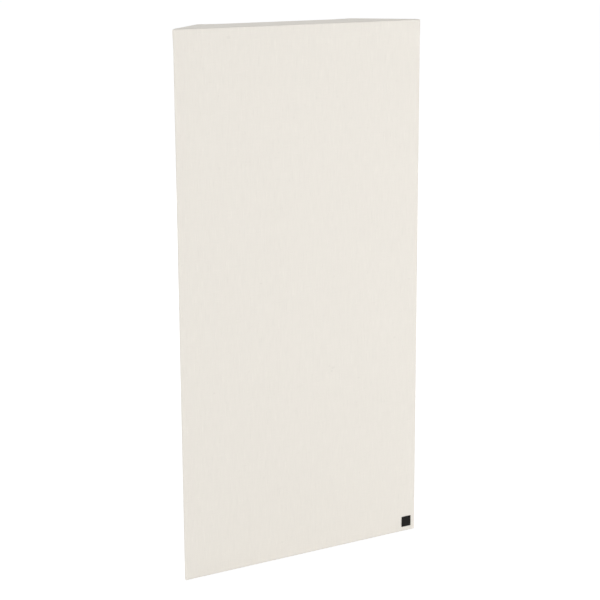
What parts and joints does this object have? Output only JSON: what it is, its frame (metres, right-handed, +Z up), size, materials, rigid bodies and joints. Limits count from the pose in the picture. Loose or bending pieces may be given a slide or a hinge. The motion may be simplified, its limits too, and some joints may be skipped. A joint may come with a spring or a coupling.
{
  "type": "bass trap",
  "caption": "Tall flat corner bass trap: cloth-wrapped bevelled ply box filled with mineral wool, with hinged D-ring hangers on the back.",
  "frame": {"origin": "on the underside, half way across and half way through the wrapped body's depth", "axes": "+Z up along the height, -Y out of the wide front face, +Y out of the back, +X to the right as seen from the front"},
  "size_m": [0.6092, 0.1246, 1.2],
  "materials": {
    "cloth": "plain-woven cream cloth",
    "ply": "bare birch ply",
    "wool": "mineral wool slab",
    "veil": "thin bonded fibre veil",
    "scrim": "black non-woven dust cloth",
    "label": "satin black",
    "zinc": "zinc plated",
    "wire": "bright wire"
  },
  "bodies": {
    "trap_body": {"bottom_board": "ply", "top_board": "ply", "left_side_board": "ply", "right_side_board": "ply", "centre_shelf": "ply", "left_stile": "ply", "right_stile": "ply", "bottom_rail": "ply", "top_rail": "ply", "front_wool_lower": "wool", "front_wool_upper": "wool", "rear_wool_lower": "wool", "rear_wool_upper": "wool", "facing_veil": "veil", "fabric_cover": "cloth", "rear_scrim": "scrim", "label_plate": "label", "bottom_left_front_screw": "zinc", "bottom_left_rear_screw": "zinc", "bottom_right_front_screw": "zinc", "bottom_right_rear_screw": "zinc", "top_left_front_screw": "zinc", "top_left_rear_screw": "zinc", "top_right_front_screw": "zinc", "top_right_rear_screw": "zinc", "shelf_left_front_screw": "zinc", "shelf_left_rear_screw": "zinc", "shelf_right_front_screw": "zinc", "shelf_right_rear_screw": "zinc", "left_stile_bottom_screw": "zinc", "left_stile_middle_screw": "zinc", "left_stile_top_screw": "zinc", "right_stile_bottom_screw": "zinc", "right_stile_middle_screw": "zinc", "right_stile_top_screw": "zinc", "bottom_rail_left_screw": "zinc", "bottom_rail_right_screw": "zinc", "top_rail_left_screw": "zinc", "top_rail_right_screw": "zinc", "left_staple_1": "wire", "left_staple_2": "wire", "left_staple_3": "wire", "left_staple_4": "wire", "right_staple_1": "wire", "right_staple_2": "wire", "right_staple_3": "wire", "right_staple_4": "wire", "bottom_staple_left": "wire", "bottom_staple_right": "wire", "top_staple_left": "wire", "top_staple_right": "wire", "left_hanger_strap": "zinc", "right_hanger_strap": "zinc", "left_hanger_near_screw": "zinc", "left_hanger_far_screw": "zinc", "right_hanger_near_screw": "zinc", "right_hanger_far_screw": "zinc"},
    "left_ring": {"left_d_ring": "wire"},
    "right_ring": {"right_d_ring": "wire"}
  },
  "joints": [
    {"name": "left_ring_hinge", "type": "hinge", "parent": "trap_body", "child": "left_ring", "pos_m": [-0.15326, 0.0623, 0.9], "axis": [0, 0, 1], "range_deg": [0, 160]},
    {"name": "right_ring_hinge", "type": "hinge", "parent": "trap_body", "child": "right_ring", "pos_m": [0.15326, 0.0623, 0.9], "axis": [0, 0, -1], "range_deg": [0, 160]}
  ]
}
